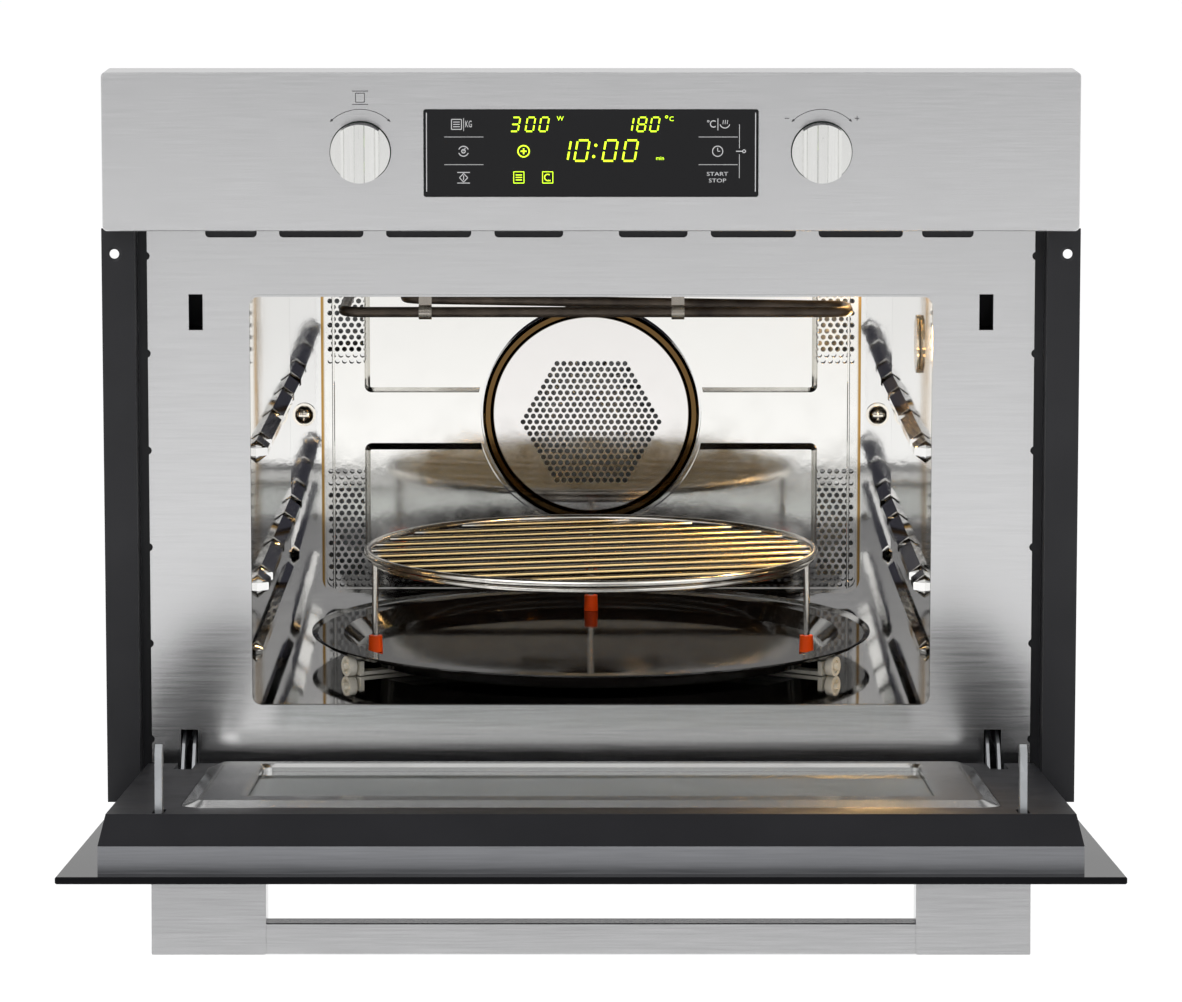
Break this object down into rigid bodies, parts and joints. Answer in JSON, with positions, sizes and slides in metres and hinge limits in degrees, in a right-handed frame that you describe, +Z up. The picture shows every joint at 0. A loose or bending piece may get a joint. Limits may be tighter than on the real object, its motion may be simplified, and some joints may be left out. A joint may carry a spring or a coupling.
{
  "type": "built-in combination oven",
  "caption": "Compact built-in oven with an open drop-down door, a control panel with knobs and display, a perforated fan wall, a grill rod, a turntable and a wire rack.",
  "frame": {"origin": "underside of the base plate, at the middle of its footprint", "axes": "+Z up, +Y to the back of the niche, +X to the right as seen from the front; the door opens towards -Y"},
  "size_m": [0.595, 0.8911, 0.4753],
  "materials": {
    "brushed_steel": "brushed",
    "knob_metal": "fine satin",
    "display_glass": "gloss",
    "board": "matt",
    "black_metal": "satin black",
    "cavity_steel": "bright polished",
    "chrome": "polished",
    "element": "dark heat-stained",
    "galvanised": "zinc plated",
    "enamel": "gloss black enamel",
    "moulded_plastic": "moulded",
    "roller_plastic": "moulded",
    "silicone": "matt",
    "motor_metal": "satin",
    "lamp_glass": "clear",
    "door_glass": "gloss, black printed glass",
    "frame_metal": "satin",
    "black_liner": "satin",
    "window_glass": "clear",
    "screen_metal": "perforated"
  },
  "bodies": {
    "body": {"base_plate": "galvanised", "blower_housing": "moulded_plastic", "blower_motor": "motor_metal", "case_screws": "galvanised", "casing_left": "galvanised", "casing_rear": "galvanised", "casing_right": "galvanised", "casing_top": "galvanised", "cavity_ceiling": "cavity_steel", "cavity_floor": "cavity_steel", "cavity_left_wall": "cavity_steel", "cavity_rear_wall": "cavity_steel", "cavity_right_wall": "cavity_steel", "chassis_plate": "black_metal", "control_board": "board", "control_panel": "brushed_steel", "display_window": "display_glass", "face_plate": "brushed_steel", "fan_cover": "cavity_steel", "fan_housing": "galvanised", "fan_motor": "motor_metal", "grill_brackets": "galvanised", "grill_element": "element", "hinge_arms": "galvanised", "hinge_cassettes": "galvanised", "lamp_lens": "lamp_glass", "latch_boxes": "moulded_plastic", "left_side_trim": "black_metal", "magnetron": "motor_metal", "oven_lamp": "lamp_glass", "rear_panel": "cavity_steel", "rear_studs": "chrome", "right_side_trim": "black_metal", "ring_heater": "element", "terminal_block": "moulded_plastic", "transformer": "motor_metal", "turntable_motor": "motor_metal", "waveguide": "galvanised"},
    "door": {"door_glass": "door_glass", "door_frame": "frame_metal", "door_liner": "black_liner", "door_inner_plate": "cavity_steel", "window_glass": "window_glass", "window_screen": "screen_metal", "handle_bar": "brushed_steel", "handle_end_left": "brushed_steel", "handle_end_right": "brushed_steel"},
    "latch": {"latch_hooks": "galvanised"},
    "left_knob": {"left_knob": "knob_metal"},
    "right_knob": {"right_knob": "knob_metal"},
    "turntable": {"turntable_plate": "enamel", "drive_hub": "moulded_plastic"},
    "roller_support": {"roller_support": "roller_plastic"},
    "roller_a": {"roller_1": "roller_plastic"},
    "roller_b": {"roller_2": "roller_plastic"},
    "roller_c": {"roller_3": "roller_plastic"},
    "rack": {"wire_rack": "chrome", "rack_feet": "silicone"},
    "convection_fan": {"fan_wheel": "galvanised"},
    "cooling_blower": {"blower_rotor": "moulded_plastic"}
  },
  "joints": [
    {"name": "door_hinge", "type": "hinge", "parent": "body", "child": "door", "pos_m": [0, -0.286, 0.0115], "axis": [-1, 0, 0], "range_deg": [0, 84.6]},
    {"name": "latch_pivot", "type": "hinge", "parent": "door", "child": "latch", "pos_m": [0, -0.57631, 0.04849], "axis": [1, 0, 0], "range_deg": [0, 5], "stiffness_Nm_per_rad": 0.6},
    {"name": "left_knob_turn", "type": "hinge", "parent": "body", "child": "left_knob", "pos_m": [-0.139, -0.304, 0.407], "axis": [0, 1, 0], "continuous": true},
    {"name": "right_knob_turn", "type": "hinge", "parent": "body", "child": "right_knob", "pos_m": [0.139, -0.304, 0.407], "axis": [0, 1, 0], "continuous": true},
    {"name": "turntable_spin", "type": "hinge", "parent": "body", "child": "turntable", "pos_m": [0, -0.07, 0.06], "axis": [0, 0, 1], "continuous": true},
    {"name": "roller_support_spin", "type": "hinge", "parent": "body", "child": "roller_support", "pos_m": [0, -0.07, 0.06], "axis": [0, 0, 1], "continuous": true},
    {"name": "roller_a_spin", "type": "hinge", "parent": "roller_support", "child": "roller_a", "pos_m": [0, 0.1075, 0.0678], "axis": [0, 1, 0], "continuous": true},
    {"name": "roller_b_spin", "type": "hinge", "parent": "roller_support", "child": "roller_b", "pos_m": [-0.15372, -0.15875, 0.0678], "axis": [-0.866, -0.5, 0], "continuous": true},
    {"name": "roller_c_spin", "type": "hinge", "parent": "roller_support", "child": "roller_c", "pos_m": [0.15372, -0.15875, 0.0678], "axis": [0.866, -0.5, 0], "continuous": true},
    {"name": "rack_lift", "type": "slide", "parent": "turntable", "child": "rack", "axis": [0, 0, 1], "range_m": [0, 0.06]},
    {"name": "convection_fan_spin", "type": "hinge", "parent": "body", "child": "convection_fan", "pos_m": [0, 0.1639, 0.1925], "axis": [0, 1, 0], "continuous": true},
    {"name": "cooling_blower_spin", "type": "hinge", "parent": "body", "child": "cooling_blower", "pos_m": [0, -0.1901, 0.368], "axis": [1, 0, 0], "continuous": true}
  ],
  "couplings": [
    {"joint": "roller_support_spin", "follows": "turntable_spin", "ratio": 0.5},
    {"joint": "roller_a_spin", "follows": "turntable_spin", "ratio": -14.087},
    {"joint": "roller_b_spin", "follows": "turntable_spin", "ratio": -14.087},
    {"joint": "roller_c_spin", "follows": "turntable_spin", "ratio": -14.087}
  ]
}
